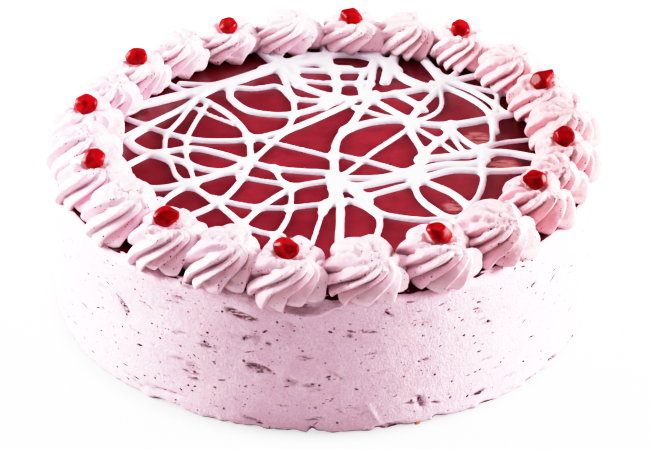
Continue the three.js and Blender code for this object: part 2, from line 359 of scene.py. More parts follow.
wallLook = {
    "columns": 720,
    "wallRows": 78,
    "rimRows": 10,
    "footRows": 4,
    "rim": 3.6 * mm,
    "foot": 1.6 * mm,
    "lipInset": 0.6 * mm,
    "lipDrop": 0.4 * mm,
    "lipWidth": 1.5 * mm,
    "wave": 0.5 * mm,
    "waveLow": 0.6,            # how far in the side lies, in waves
    # slow waves: their share, how many there are in a turn and how they slant with the height
    "waves": ((0.625, 3, 50), (0.375, 11, 160)),
    "drag": 0.16 * mm,
    "dragCell": 3.2 * mm,
    "dragStretch": (0.16, 0.16, 1.0),
    "grain": 0.09 * mm,
    "grainCell": 2.3 * mm,
    "ragged": 1.1 * mm,        # how uneven the foot is, and up to which height
    "raggedIn": 0.3,
    "raggedCell": 4 * mm,
    "raggedTo": 4 * mm,
    "footShadow": 1.8,
    "footShadowAt": (1.5 * mm, 0.3 * mm),
    "lipWave": 0.8 * mm,
    "lipCell": 14 * mm,
    "lipLow": 0.1 * mm,
    "lipAt": (50 * mm, 64 * mm),
    "lowLip": 1.3 * mm,
    # where the lip is low and the jelly's edge shows: bearing from the rear and half width
    "lowLipAt": (
        (226.0, 3.0),
        (210.8, 2.6),
        (194.0, 2.0),
        (160.0, 5.0),
        (146.4, 3.0),
        (100.0, 4.0),
        (258.0, 4.0),
    ),
    "dentAt": 184.5,           # where the lip has sunk under a rosette, and how far to its two sides
    "dentHalf": (9.5, 6.0),
    "dentLow": 58 * mm,
    "dentRise": 7 * mm,
    "dentDepth": 2.4 * mm,
    "dentEdge": (-0.3 * mm, 0.9 * mm),
    "dentRagged": 1.3 * mm,
    "dentCell": 3.5 * mm,
    "dentSwell": 0.6 * mm,     # how far cream is pushed out below it, and how far down
    "dentSwellAt": 0.9 * mm,
    "markReach": 3,            # how far out a mark is followed, in half lengths
    "markDepth": 1.5,
    "markPush": 0.5,           # how much of it is pushed up at the mark's end, where and how briefly
    "markPushAt": 1.1,
    "markPushShort": 2.2,
    "markShade": (0.1, 0.6),
    "looseMarks": 240,         # marks strewn by chance
    "looseSize": (0.4, 1.0),
    "looseHeight": (1.5 * mm, 60 * mm),
    "looseLength": 4.0 * mm,
    "looseWidth": 0.8 * mm,
    "looseSlant": math.radians(16),
    "looseDepth": 0.3 * mm,
    "looseDark": (0.2, 1.0),
    "seed": 7,
}

# the marks that stand out: bearing from the rear, height, half length, half width, slant, depth, darkness
plainMarks = (
    (222.4, 40.7, 4.5, 1.5, 48, 0.7, 1.0),
    (195.5, 54.8, 6.5, 1.7, 14, 0.5, 1.3),
    (192.3, 30.1, 5.0, 1.5, 12, 0.6, 1.7),
    (206.5, 63.0, 3.2, 1.4, 0, 0.3, 0.63),
    (207.9, 56.4, 4.0, 1.2, 5, 0.3, 0.56),
    (182.3, 23.8, 3.0, 1.0, -10, 0.3, 0.63),
    (190.3, 42.2, 1.2, 0.9, 0, 0.3, 1.0),
    (186.0, 25.4, 3.0, 1.6, 10, 0.9, 0.2),
    (212.8, 7.1, 9.0, 0.8, -4, 0.8, 0.42),
    (205.9, 18.2, 3.0, 0.7, 0, 0.2, 0.56),
    # a notch at the foot, its darkness painted shadow
    (181.9, 1.2, 1.8, 1.6, 0, 2.2, 0.63),
    (160.7, 12.0, 3.6, 1.4, 70, 0.9, 1.0),
    (170.3, 10.0, 6.0, 0.7, 62, -0.6, 0.0),
    (159.9, 31.2, 3.4, 1.1, -5, 0.3, 0.63),
    (174.8, 47.2, 1.2, 1.0, 0, 0.2, 1.0),
    (170.6, 48.4, 4.0, 0.7, 4, 0.2, 0.56),
    (147.5, 7.6, 4.0, 1.0, -10, 0.4, 1.0),
    (148.9, 48.8, 2.0, 1.4, 0, 0.3, 0.56),
    (134.0, 48.9, 2.0, 1.0, -10, 0.3, 1.0),
    (137.6, 36.3, 2.2, 0.9, -12, 0.2, 0.56),
    (192.6, 45.4, 2.6, 2.2, 40, 0.8, 0.2),
    (202.6, 36.2, 4.5, 0.8, 4, 0.2, 0.63),
    (187.5, 61.0, 12.0, 3.2, -4, 1.0, 0.0),
    # notches at the foot, their darkness painted shadow
    (166.0, 1.5, 5.0, 1.2, 6, 1.6, 0.42),
    (157.0, 1.4, 2.0, 1.2, 0, 1.6, 0.49),
    (183.2, 36.8, 3.0, 1.1, 0, 0.3, 0.56),
    (185.9, 52.6, 3.0, 0.8, 50, 0.8, 0.1),
    (194.6, 44.2, 2.0, 1.0, -40, 0.6, 0.63),
    (201.9, 37.5, 3.6, 0.9, 8, 0.3, 0.63),
    (206.0, 25.0, 3.0, 1.4, 0, 0.3, 0.35),
    (170.5, 38.3, 2.4, 0.8, -12, 0.3, 0.63),
    (160.8, 49.4, 4.0, 2.4, 0, 0.2, 0.35),
    (146.1, 41.0, 3.0, 0.8, 0, 0.2, 0.56),
    (107.7, 13.7, 1.6, 1.6, 0, 0.3, 0.42),
    # notches along the foot, their darkness painted shadow
    (125.2, 2.2, 5.0, 1.6, 8, 1.4, 1.3),
    (133.3, 1.2, 4.0, 1.0, 0, 1.2, 1.0),
    (145.9, 1.0, 4.0, 0.9, 0, 1.2, 1.0),
    (115.0, 1.6, 1.6, 1.2, 0, 0.6, 1.0),
    (212.5, 0.8, 8.0, 1.2, 0, 2.0, 1.0),
    (168.8, 1.2, 2.5, 1.2, 0, 1.6, 0.63),
    (156.2, 0.8, 3.0, 1.0, 0, 1.6, 0.63),
    # a painted shadow line under the rosette in the dent
    (184.2, 60.2, 3.4, 0.7, 0, 0.8, 1.0),
)


def wallMarks():
    look = wallLook
    rows = [
        (math.radians(bearing), height * mm, length * mm, width * mm, math.radians(slant), depth * mm, dark)
        for bearing, height, length, width, slant, depth, dark in plainMarks
    ]
    rng = np.random.default_rng(look["seed"])
    for _ in range(look["looseMarks"]):
        size = rng.uniform(*look["looseSize"]) ** 2
        rows.append((
            rng.uniform(0, fullTurn),
            rng.uniform(*look["looseHeight"]),
            look["looseLength"] * size,
            look["looseWidth"] * size,
            rng.normal(0, look["looseSlant"]),
            look["looseDepth"] * size,
            rng.uniform(*look["looseDark"]),
        ))
    return rows


marksOnWall = wallMarks()


def wallRelief(bearing, height):  # how far the wall stands out from its radius, and how dark it is from smeared pulp and the painted shadow at its foot
    look = wallLook
    ring = roundPlaces(bearing, cakeRadius, height)
    swell = sum(share * np.sin(count * bearing + slant * height) for share, count, slant in look["waves"])
    offset = look["wave"] * (swell - look["waveLow"])
    offset += look["drag"] * lumps(ring * look["dragStretch"], look["dragCell"], seed=3)
    offset += look["grain"] * lumps(ring, look["grainCell"], seed=5)
    dentSide = np.degrees(bearing) - look["dentAt"]
    dentSide = dentSide / np.where(dentSide < 0, *look["dentHalf"])
    overDent = height - look["dentLow"] - look["dentRise"] * np.minimum(dentSide**2, 2)
    overDent = overDent + look["dentRagged"] * lumps(ring, look["dentCell"], seed=17)
    offset -= look["dentDepth"] * smoothStep(overDent, *look["dentEdge"])
    swollen = np.exp(-(((overDent + look["dentSwellAt"]) / mm) ** 2))
    offset += look["dentSwell"] * swollen * (np.abs(dentSide) < 1)
    # a painted shadow line along the foot
    dark = look["footShadow"] * smoothStep(height, *look["footShadowAt"])
    for markBearing, markHeight, length, width, slant, depth, shade in marksOnWall:
        along = cakeRadius * bearingGap(bearing, markBearing)
        rise = height - markHeight
        near = np.flatnonzero(np.maximum(np.abs(along), np.abs(rise)) < look["markReach"] * length)
        along = along[near]
        rise = rise[near]
        lengthwise = (along * math.cos(slant) + rise * math.sin(slant)) / length
        crosswise = (rise * math.cos(slant) - along * math.sin(slant)) / width
        hollow = np.exp(-lengthwise**2 - crosswise**2)
        pastEnd = (lengthwise - look["markPushAt"]) * look["markPushShort"]
        pushedUp = np.exp(-pastEnd**2 - crosswise**2)
        offset[near] -= look["markDepth"] * depth * (hollow - look["markPush"] * pushedUp)
        dark[near] = np.maximum(dark[near], shade * smoothStep(hollow, *look["markShade"]))
    return offset, dark


# radius and height of each row, from the middle of the underside round to the jelly's floor
def wallProfile(inner):
    rim = wallLook["rim"]
    foot = wallLook["foot"]
    middle = cakeRadius / 2
    footTurns = np.linspace(0, math.pi / 2, wallLook["footRows"])
    rimTurns = np.linspace(0, math.pi / 2, wallLook["rimRows"])
    wallTop = cakeHeight - rim
    wallHeights = np.linspace(foot, wallTop, wallLook["wallRows"])[1:-1]
    profile = [(0.0, 0.0), (middle, 0.0)]
    profile += [(cakeRadius - foot + foot * math.sin(t), foot - foot * math.cos(t)) for t in footTurns]
    profile += [(cakeRadius, height) for height in wallHeights]
    profile += [(cakeRadius - rim + rim * math.cos(t), wallTop + rim * math.sin(t)) for t in rimTurns]
    profile += [(inner, cakeHeight - wallLook["lipDrop"]), (inner, jellyFloor)]
    profile += [(middle, jellyFloor), (0.0, jellyFloor)]
    return np.array(profile).T


def cakeSide(material):
    look = wallLook
    inner = cakeRadius - look["rim"] - look["lipInset"]
    radii, heights = wallProfile(inner)

    def place(across, row):
        bearing = fullTurn * across
        radius = radii[row]
        height = heights[row]
        offset, dark = wallRelief(bearing, height)
        outer = smoothStep(radius, inner, inner + look["lipWidth"])
        ring = roundPlaces(bearing, cakeRadius, 0 * height)
        ragged = look["ragged"] * (lumps(ring, look["raggedCell"], seed=11) - look["raggedIn"])
        radius = radius + outer * (offset + ragged * smoothStep(height, look["raggedTo"], 0))
        lipWave = look["lipWave"] * lumps(ring, look["lipCell"], seed=13) - look["lipLow"]
        for at, half in look["lowLipAt"]:
            away = np.degrees(bearingGap(bearing, math.radians(at)))
            lipWave -= look["lowLip"] * np.exp(-((away / half) ** 4))
        height = height + outer * smoothStep(height, *look["lipAt"]) * lipWave
        return roundPlaces(bearing, radius, height), dark

    shape = rolledGrid(look["columns"], len(radii) - 1, place, "smearAndShadow")
    return addPiece("creamSide", shape, material, "cream", "cake_body")


def onSide(bearing, reach, height):  # stands a bit at the side, with its +Y outwards
    return Matrix.Rotation(-bearing, 4, "Z") @ Matrix.Translation((0, reach, height))


# flecks of dried pulp that sit in the side

fleckLook = {
    "count": 1300,
    "lowest": 2 * mm,
    "belowTop": 3 * mm,
    "slant": 0.3,
    "small": 0.18 * mm,
    "large": 0.74 * mm,
    "fewLarge": 2.4,           # the more, the fewer are large
    "longer": 3.5,             # how much longer than wide one may be
    "thick": 0.16 * mm,
    "sunk": 0.05 * mm,
    "inMarks": 6,              # how many lie in a dark mark
    "gather": 0.45,            # how close to its middle
    "lowestInMark": 1.2 * mm,
    "seed": 15,
    "shadeCell": 3 * mm,
    "shades": (0.34, 0.54),
    "dark": (0.055, 0.017, 0.023),
    "pale": (0.36, 0.16, 0.21),
    # the colour the flecks are painted towards the sides, darker against the strong light there
    "side": (0.008, 0.003, 0.004),
}


def pulpFlecks(material):
    look = fleckLook
    count = look["count"]
    span = (look["small"], look["large"])
    rng = np.random.default_rng(look["seed"])
    bearings = rng.uniform(0, fullTurn, count)
    heights = rng.uniform(look["lowest"], cakeHeight - look["belowTop"], count)
    sizes = between(span, rng.random(count) ** look["fewLarge"])
    slants = rng.normal(0, look["slant"], count)
    for bearing, height, length, width, slant, _, dark in marksOnWall[:len(plainMarks)]:
        inMark = int(look["inMarks"] * dark)
        along, across = look["gather"] * rng.normal(size=(2, inMark)) * [[length], [width]]
        aside = along * math.cos(slant) - across * math.sin(slant)
        rises = along * math.sin(slant) + across * math.cos(slant)
        bearings = np.append(bearings, bearing + aside / cakeRadius)
        heights = np.append(heights, np.maximum(height + rises, look["lowestInMark"]))
        sizes = np.append(sizes, rng.uniform(*span, inMark))
        slants = np.append(slants, np.full(inMark, slant))
    offsets, _ = wallRelief(bearings, heights)
    shape = bmesh.new()
    for bearing, height, size, slant, offset in zip(bearings, heights, sizes, slants, offsets):
        spot = onSide(bearing, cakeRadius + offset - look["sunk"], height)
        long = size * (1 + look["longer"] * rng.random() ** 3)
        squash = Matrix.Diagonal((long, look["thick"], size, 1))
        place = spot @ Matrix.Rotation(slant, 4, "Y") @ squash
        bmesh.ops.create_icosphere(shape, subdivisions=1, radius=1, matrix=place)
    return addPiece("pulpFlecks", shape, material, "cream")


def fleckMaterial():
    look = fleckLook
    material, tree, shader = newMaterial("driedPulp")
    shade = ranged(tree, noiseField(tree, look["shadeCell"], 1), *look["shades"])
    colour = mixed(tree, shade, look["dark"], look["pale"])
    setInputs(tree, shader, {
        # painted darker towards the sides, against the strong light there
        "Base Color": mixed(tree, sideways(tree), colour, look["side"]),
        "Roughness": 0.6,
        "Specular IOR Level": 0.1,
    })
    return material


# a crumb of the golden base, bare at the foot

crumbLook = {
    "bearing": math.radians(160.9),
    "height": 0.9 * mm,
    "sunk": 0.4 * mm,
    "half": (1.4 * mm, 0.8 * mm, 0.7 * mm),
    "lumps": 0.3 * mm,
    "lumpCell": 0.9 * mm,
    "shades": (0.35, 0.65),
    "dark": (0.22, 0.075, 0.025),
    "golden": (0.50, 0.22, 0.07),
}


def baseCrumb(material):
    look = crumbLook
    spot = onSide(look["bearing"], cakeRadius - look["sunk"], look["height"])
    place = spot @ Matrix.Diagonal((*look["half"], 1))
    shape = bmesh.new()
    bmesh.ops.create_icosphere(shape, subdivisions=3, radius=1, matrix=place)
    swell = lumps([vert.co for vert in shape.verts], look["lumpCell"], seed=41)
    for vert, size in zip(shape.verts, swell):
        vert.co += vert.normal * (look["lumps"] * size)
    return addPiece("baseCrumb", shape, material, "cream")


def crumbMaterial():
    look = crumbLook
    material, tree, shader = newMaterial("goldenCrumb")
    shade = ranged(tree, noiseField(tree, look["lumpCell"], 2), *look["shades"])
    setInputs(tree, shader, {
        "Base Color": mixed(tree, shade, look["dark"], look["golden"]),
        "Roughness": 0.8,
    })
    return material


# jelly: one glossy red sheet with a ragged edge at the lip

jellyLook = {
    "columns": 360,
    "rings": 60,
    "reach": 116.8 * mm,
    "ragged": 1.2 * mm,        # how uneven its outline is
    "raggedCell": 5 * mm,
    "wave": 0.08 * mm,
    "waveCell": 16 * mm,
    "edge": 7 * mm,            # how wide its lumpy edge is
    "edgeLumps": 0.8 * mm,
    "lumpCell": 2.6 * mm,
    "rounded": 1.2 * mm,       # how far it falls at its outline, and from which share on
    "roundedFrom": 0.985,
    "underGap": 0.2 * mm,
    "shaded": (93 * mm, 108 * mm),  # towards its edge it goes dark under the rosettes
    "rearShaded": 11 * mm,     # how much farther in it does so at the rear
    "rearFrom": (-0.2, 0.4),
    "rightShaded": 18 * mm,    # and on the right
    "rightFrom": (0.6, 0.95),
    "rimFrom": 0.35,           # from this much dark on it is hardly glossy
    "dark": (0.034, 0.0, 0.001),
    "deep": (0.112, 0.0045, 0.0115),
    "bright": (0.168, 0.010, 0.019),
    "reflectedTone": (0.34, 0.10, 0.105),
    # painted reflections, milky patches of mirrored light on the sheet: where they lie and how wide, in
    # millimetres
    "reflectionSpots": ((68, 14.5, 7), (78, -11, 8), (55, -46, 5), (67, 8, 5)),
    "reflectionCore": 0.6,          # the share of each where the painted reflection is full
    # painted light to the right and painted shade towards the rear: between which shares of the radius, and
    # by how much
    "toRight": ((-0.75, 0.6), (-0.25, 0.25)),
    "toRear": ((0.2, 0.75), (0.0, 0.5)),
    "shadeCell": 22 * mm,
    "shades": (0.3, 0.7),
    "reflectionStreakCell": 3 * mm,
    "reflectionStreakStretch": (0.5, 2.0, 1),
    "reflectionStreaks": (0.35, 0.55),
    "skinCells": (5 * mm, 1.2 * mm),
    "skin": (0.15, 0.15 * mm),  # how strong its bumps are, and how high
}
# specular level and roughness
jellyShine = {
    "redJelly": (0.13, 0.16),
    "jellyRim": (0.03, 0.3),
}


def jellySheet(material, rimMaterial):
    look = jellyLook
    rings = look["rings"]

    def place(across, row):
        bearing = fullTurn * across
        under = row > rings
        share = np.where(under, 2 * rings - row, row) / rings
        direction = roundPlaces(bearing, 1, 0 * bearing)
        reach = look["reach"] + look["ragged"] * lumps(look["reach"] * direction, look["raggedCell"], seed=21)
        radius = reach * share
        places = radius[:, None] * direction
        atEdge = smoothStep(radius, look["reach"] - look["edge"], look["reach"])
        top = cakeHeight + look["wave"] * lumps(places, look["waveCell"], seed=22)
        top += atEdge * look["edgeLumps"] * np.abs(lumps(places, look["lumpCell"], seed=23))
        top -= look["rounded"] * smoothStep(share, look["roundedFrom"], 1.0)
        atRear = look["rearShaded"] * smoothStep(direction[:, 1], *look["rearFrom"])
        onRight = look["rightShaded"] * smoothStep(direction[:, 0], *look["rightFrom"])
        shade = smoothStep(radius + np.maximum(atRear, onRight), *look["shaded"])
        # painted reflections, carried as values below 0
        for x, y, wide in look["reflectionSpots"]:
            away = np.hypot(places[:, 0] / mm - x, places[:, 1] / mm - y)
            dull = smoothStep(away, wide, look["reflectionCore"] * wide)
            shade = np.where(away < wide, -dull, shade)
        places[:, 2] = np.where(under, jellyFloor + look["underGap"], top)
        return places, shade

    shape = rolledGrid(look["columns"], 2 * rings, place, "shade")
    layer = shape.verts.layers.float["shade"]
    for face in shape.faces:
        face.material_index = int(min(vert[layer] for vert in face.verts) > look["rimFrom"])
    sheet = addPiece("jellySheet", shape, material, "jelly", "jelly_glaze")
    sheet.data.materials.append(rimMaterial)
    return sheet


def jellyMaterial(name):
    look = jellyLook
    specular, roughness = jellyShine[name]
    material, tree, shader = newMaterial(name)
    shade = ranged(tree, noiseField(tree, look["shadeCell"], 4), *look["shades"])
    # painted light towards the right and painted shade towards the rear
    shade = calc(tree, "ADD", shade, towards(tree, right, *look["toRight"]))
    shade = calc(tree, "SUBTRACT", shade, towards(tree, rear, *look["toRear"]))
    colour = mixed(tree, shade, look["deep"], look["bright"])
    edge = carried(tree, "shade")
    # streaks in the painted reflections
    reflectionStreaks = noiseField(tree, look["reflectionStreakCell"], 3, look["reflectionStreakStretch"])
    reflectionStreaks = ranged(tree, reflectionStreaks, *look["reflectionStreaks"])
    paintedReflection = calc(tree, "MULTIPLY", calc(tree, "MULTIPLY", edge, -1.0), reflectionStreaks)
    colour = mixed(tree, paintedReflection, colour, look["reflectedTone"])
    skin = calc(tree, "ADD", *(noiseField(tree, cell, 2) for cell in look["skinCells"]))
    setInputs(tree, shader, {
        "Base Color": mixed(tree, edge, colour, look["dark"]),
        "Normal": bumped(tree, skin, *look["skin"]),
        "Roughness": roughness,
        "Specular IOR Level": specular,
    })
    return material


# icing: a net of thick white strands thrown across the jelly

icingLook = {
    "spacing": 0.62 * mm,
    "reach": 107 * mm,
    "height": 2.1 * mm,
    "shoulder": 2.1 * mm,      # how far in from its edge a strand is fully high
    "bank": 0.6,               # 0.5 has round sides, more has sloping ones
    "fillet": 2.9 * mm,        # how softly two strands run together
    "runOn": 17 * mm,
    "runOnFrom": 74 * mm,
    "ends": 106 * mm,          # how far out the strands go on under the rosettes
    "outward": 0.4,            # only a strand that heads outwards by this much goes on
    "unevenness": 0.13,
    "unevenCell": 7 * mm,
    "slimness": 0.71,
    "fuller": 0.1,             # how much less slim strands are on the right and at the rear
    "fullerRight": (20 * mm, 60 * mm),
    "fullerRear": (30 * mm, 60 * mm),
    "footSlope": 2,            # how steeply the skin dips beside a strand, how deep, and where it is cut
    "footDip": 0.8 * mm,
    "footCut": 0.35 * mm,
    "sunk": 1.2 * mm,
    "rimShadeTo": 0.9,              # up to this share of its height a strand has the painted shade of its sides
    "colour": (0.90, 0.865, 0.91),
    "shade": (0.83, 0.775, 0.85),
    # the painted shade on a strand's sides
    "rim": (0.50, 0.32, 0.43),
    # painted shade towards the rear
    "rear": (0.60, 0.54, 0.68),
    "toRear": ((0.3, 0.8), (0.0, 0.4)),
    "shadeCell": 6 * mm,
    "shades": (0.25, 0.75),
    "skinCell": 2.5 * mm,
    "skin": (0.2, 0.2 * mm),
}

# each strand's width and the stops on its way, in millimetres
icingStrands = (
    (3.8, (-66, 59), (-46.5, 40), (-35.5, 21), (-32, 3), (-33, -16), (-38.5, -34), (-46, -47), (-57, -57)),
    (2.0, (-58, 41), (-50, 33.5), (-40, 26)),
    (3.0, (-60, 46), (-64.5, 30), (-69.7, 15), (-69.5, 0)),
    (2.8, (-53, 46), (-57.5, 28), (-60.3, 12), (-59.6, -4), (-54.5, -28)),
    (3.8, (-84, 18), (-75, 28.5), (-64, 41), (-52, 60)),
    (3.8, (-84, 27), (-72, 18.5), (-58, 11), (-45, 9.5), (-31, 12), (-13, 22.5), (12, 46)),
    (4.2, (-79, 22), (-85, 12), (-83, 2.5), (-75, -2), (-58, 2.5), (-45, -2), (-31, -10), (-17, -16),
     (5, -19)),
    (4.0, (-88, -16), (-78, -5), (-72, -2)),
    (3.0, (-74, -3), (-66.5, -10), (-63, -21), (-56, -32)),
    (4.0, (-72, -3), (-61.5, -9), (-50, -16.5), (-36, -19)),
    (4.6, (-84, -31), (-69, -32.5), (-56, -27), (-43, -19), (-32, -8)),
    (3.2, (-33, -12), (-25, 4), (-16, 23), (-13.3, 42), (-16, 60), (-22, 85)),
    (2.8, (-34, 15.5), (-27, 11), (-19, 7), (-10, 2.6), (4, -4.5)),
    (3.5, (-72, -56), (-64.5, -38.5), (-55, -28.5)),
    (3.8, (-58, -28), (-49.5, -38), (-40, -51.5), (-33, -63.5), (-28, -80)),
    (3.2, (-46, -41), (-31.5, -47.3), (-18, -48.7), (-5, -46.5), (9, -43.5)),
    (3.6, (-37, -72), (-29, -53.5), (-20, -39.5), (-10, -30), (5, -25)),
    (2.8, (-36, -22.5), (-26, -25.8), (-12, -30)),
    (3.0, (-21, -14), (-18.5, -23), (-13.8, -34), (-13.7, -47), (-15.5, -60), (-22, -79)),
    (3.0, (-35, -62.5), (-25, -68.5), (-16, -71.5)),
    (2.6, (1, -44), (-1.2, -58), (-5, -81)),
    (4.8, (24, 56), (17, 40), (12.5, 26), (6.3, 12), (4.8, -6), (5.5, -26), (7.3, -47), (6.6, -82)),
    (4.0, (3, -22), (4.2, -37), (0, -51)),
    (7.0, (8, -27), (13, -33), (18.5, -42)),
    (3.8, (16, -37), (23, -51.5), (33, -56.5), (45, -58), (62, -55)),
    (3.4, (11, -42), (20, -50), (23.7, -60), (20, -80)),
    (5.5, (5, -31.5), (17, -29.5), (29, -24.5), (42, -20)),
    (3.6, (15, -41), (28, -33.3), (41, -26.5)),
    (3.8, (40, -16), (39.3, -31), (43, -44), (54, -59)),
    (4.0, (38, -22), (48.5, -30), (57, -39), (66, -58)),
    (4.2, (8, -23), (22, -23), (33, -19), (41, -12), (43.7, 0), (38.6, 24), (43.5, 42), (56, 66)),
    (3.2, (4, -1.5), (15, -6.5), (26, -12), (41, -22)),
    (2.7, (8, -21), (14.3, -12), (21.5, 0), (32, 14), (41, 26)),
    (4.2, (38, -26), (46.5, -20.5), (57, -16), (75, -16.5), (91, -14.5)),
    (5.2, (42, -6), (55, -4), (67, -0.5), (80, 0), (92, -4)),
    (5.2, (40, -16), (52, -11.5), (64, -10.5), (71, -6)),
    (3.2, (70, 5), (69, -10), (68.5, -25), (65, -39), (58, -54)),
    (5.0, (9, 20.5), (22, 28), (36, 29.7), (50, 25.5), (64, 27.5), (84, 36)),
    (4.0, (57, 27), (54.5, 16), (48, 6), (42, -6)),
    (2.6, (55, 24), (58.5, 11), (63, -3)),
    (3.0, (57, 23), (63.5, 10), (73, -2)),
    (3.0, (78, 38), (75.7, 20), (74, 9), (66, 0)),
    (2.6, (71, 5), (80, 9.5), (94, 13)),
    (2.6, (41, 23), (48.5, 14), (58, 0)),
    (4.6, (0, 49.5), (14, 50.5), (30, 55), (44, 60.5), (60, 69)),
    (4.0, (20, 53), (29.5, 41.5), (41, 27)),
    (4.2, (33, 56), (40, 49), (46, 40)),
    (3.0, (14, 42.5), (25, 35), (37, 29.5)),
    (2.4, (54, 63), (54, 47), (50.5, 37), (42, 29)),
    (3.6, (50, 67), (62, 58), (71, 47), (75.5, 36), (77, 20)),
    (3.4, (45, 96), (53, 78), (65, 64), (75, 51), (83, 36)),
    (3.6, (33, 77), (40, 70), (49, 62)),
    (6.5, (34, 96), (31, 82), (28.5, 68)),
    (4.0, (24, 90), (22.5, 73), (20.5, 58), (23, 48)),
    (3.4, (22, 84), (17, 70), (18, 52)),
    (4.6, (3, 86), (6, 70), (5.5, 54), (0, 42)),
    (4.0, (-14, 80), (0, 79), (20, 79.5)),
    (2.8, (-14, 70), (0, 66.8), (22, 66.5)),
    (4.4, (-23, 86), (-12, 66), (-2, 56.5), (12, 49)),
    (4.4, (-43.5, 59), (-42, 50), (-33, 38), (-18, 34.5), (-5, 40), (8, 51)),
    (3.2, (-50, 63), (-33, 60.5), (-21, 62.5), (-12, 50.5), (6, 48)),
    (7.5, (-70, 51), (-54, 60), (-42, 68), (-30, 77), (-17, 85), (0, 90)),
    (5.5, (-29, 81), (-17, 88), (-9, 94), (4, 96), (14, 96), (23, 95)),
    (5.0, (-19, 88), (-16, 82), (-13, 74), (-11, 64)),
    (4.5, (-7, 95), (-2.5, 87), (5, 82.5), (12.5, 81.5)),
    (6.0, (20, 95), (26, 92), (30.5, 88), (35, 80.5)),
    (4.5, (35, 76.5), (40, 68.5), (47.5, 62.5), (50.5, 61)),
    (3.6, (50, 87), (55, 70.5), (64, 64.5), (74, 60.5)),
)


def strandLine(stops):  # a smooth line through the stops, run on under the rosettes where it reaches them
    look = icingLook
    stops = np.array(stops) * mm
    for end, before in ((0, 1), (-1, -2)):
        heading = (stops[end] - stops[before]) / np.hypot(*(stops[end] - stops[before]))
        out = np.hypot(*stops[end])
        if out > look["runOnFrom"] and heading @ stops[end] > look["outward"] * out:
            beyond = stops[end] + look["runOn"] * heading
            stops = np.vstack([beyond, stops]) if end == 0 else np.vstack([stops, beyond])
    guides = np.vstack([2 * stops[0] - stops[1], stops, 2 * stops[-1] - stops[-2]])
    line = []
    for a, b, c, d in zip(guides, guides[1:], guides[2:], guides[3:]):
        steps = max(2, int(np.hypot(*(c - b)) / look["spacing"]))
        t = np.arange(steps)[:, None] / steps
        line.append(b + 0.5 * t * (c - a + t * (2 * a - 5 * b + 4 * c - d + t * (3 * (b - c) + d - a))))
    return np.vstack([*line, guides[-2:-1]])


def icingEdges(x, y):  # how far each point is from the nearest strand's edge, below 0 inside it
    look = icingLook
    edge = np.full(len(x), look["reach"])
    for index, (drawn, *stops) in enumerate(icingStrands):
        line = strandLine(stops)
        lineX, lineY = line.T
        level = np.pad(line, ((0, 0), (0, 1)))
        uneven = 1 + look["unevenness"] * lumps(level, look["unevenCell"], seed=index)
        fuller = np.maximum(smoothStep(lineX, *look["fullerRight"]), smoothStep(lineY, *look["fullerRear"]))
        half = (look["slimness"] + look["fuller"] * fuller) * drawn * mm / 2 * uneven
        margin = half.max() + look["fillet"]
        low = line.min(axis=0) - margin
        high = line.max(axis=0) + margin
        near = np.flatnonzero((x > low[0]) & (x < high[0]) & (y > low[1]) & (y < high[1]))
        gap = (np.hypot(x[near, None] - lineX, y[near, None] - lineY) - half).min(axis=1)
        meet = np.clip(1 - np.abs(edge[near] - gap) / look["fillet"], 0, 1)
        edge[near] = np.minimum(edge[near], gap) - look["fillet"] * meet**2 / 4
    return np.maximum(edge, np.hypot(x, y) - look["ends"])


def icingNet(material):
    look = icingLook
    segments = int(2 * look["reach"] / look["spacing"])
    shape = bmesh.new()
    bmesh.ops.create_grid(shape, x_segments=segments, y_segments=segments, size=look["reach"])
    x, y, _ = np.array([vert.co for vert in shape.verts]).T
    edge = icingEdges(x, y)
    inside = np.clip(-edge / look["shoulder"], 0, 1)
    domed = look["height"] * (1 - (1 - inside) ** 2) ** look["bank"]
    height = np.where(edge > 0, -look["footSlope"] * edge, domed)
    # painted shade on the strands' sides
    rimShades = smoothStep(height, look["rimShadeTo"] * look["height"], 0)
    layer = shape.verts.layers.float.new("rim")
    for vert, rise, rim in zip(shape.verts, np.maximum(height, -look["footDip"]), rimShades):
        vert.co.z = cakeHeight + rise
        vert[layer] = rim
    floor = cakeHeight - look["footCut"]
    bare = [face for face in shape.faces if max(vert.co.z for vert in face.verts) < floor]
    bmesh.ops.delete(shape, geom=bare, context="FACES")
    skin = bmesh.ops.extrude_face_region(shape, geom=shape.faces[:], use_keep_orig=True)
    for item in skin["geom"]:
        if isinstance(item, bmesh.types.BMVert):
            item.co.z = cakeHeight - look["sunk"]
    bmesh.ops.recalc_face_normals(shape, faces=shape.faces)
    return addPiece("icingNet", shape, material, "icing", "jelly_glaze")


def icingMaterial():
    look = icingLook
    material, tree, shader = newMaterial("whiteIcing")
    shade = ranged(tree, noiseField(tree, look["shadeCell"], 3), *look["shades"])
    colour = mixed(tree, shade, look["shade"], look["colour"])
    # painted shade towards the rear
    colour = mixed(tree, towards(tree, rear, *look["toRear"]), colour, look["rear"])
    setInputs(tree, shader, {
        # painted shade on the strands' sides
        "Base Color": mixed(tree, carried(tree, "rim"), colour, look["rim"]),
        "Normal": bumped(tree, noiseField(tree, look["skinCell"], 2), *look["skin"]),
        "Roughness": 0.3,
        "Subsurface Weight": 0.12,
        "Subsurface Radius": (1.0, 0.8, 0.85),
        "Subsurface Scale": 1 * mm,
    })
    return material


# rosettes: a star nozzle's ridges that climb over the belly and turn to a crown

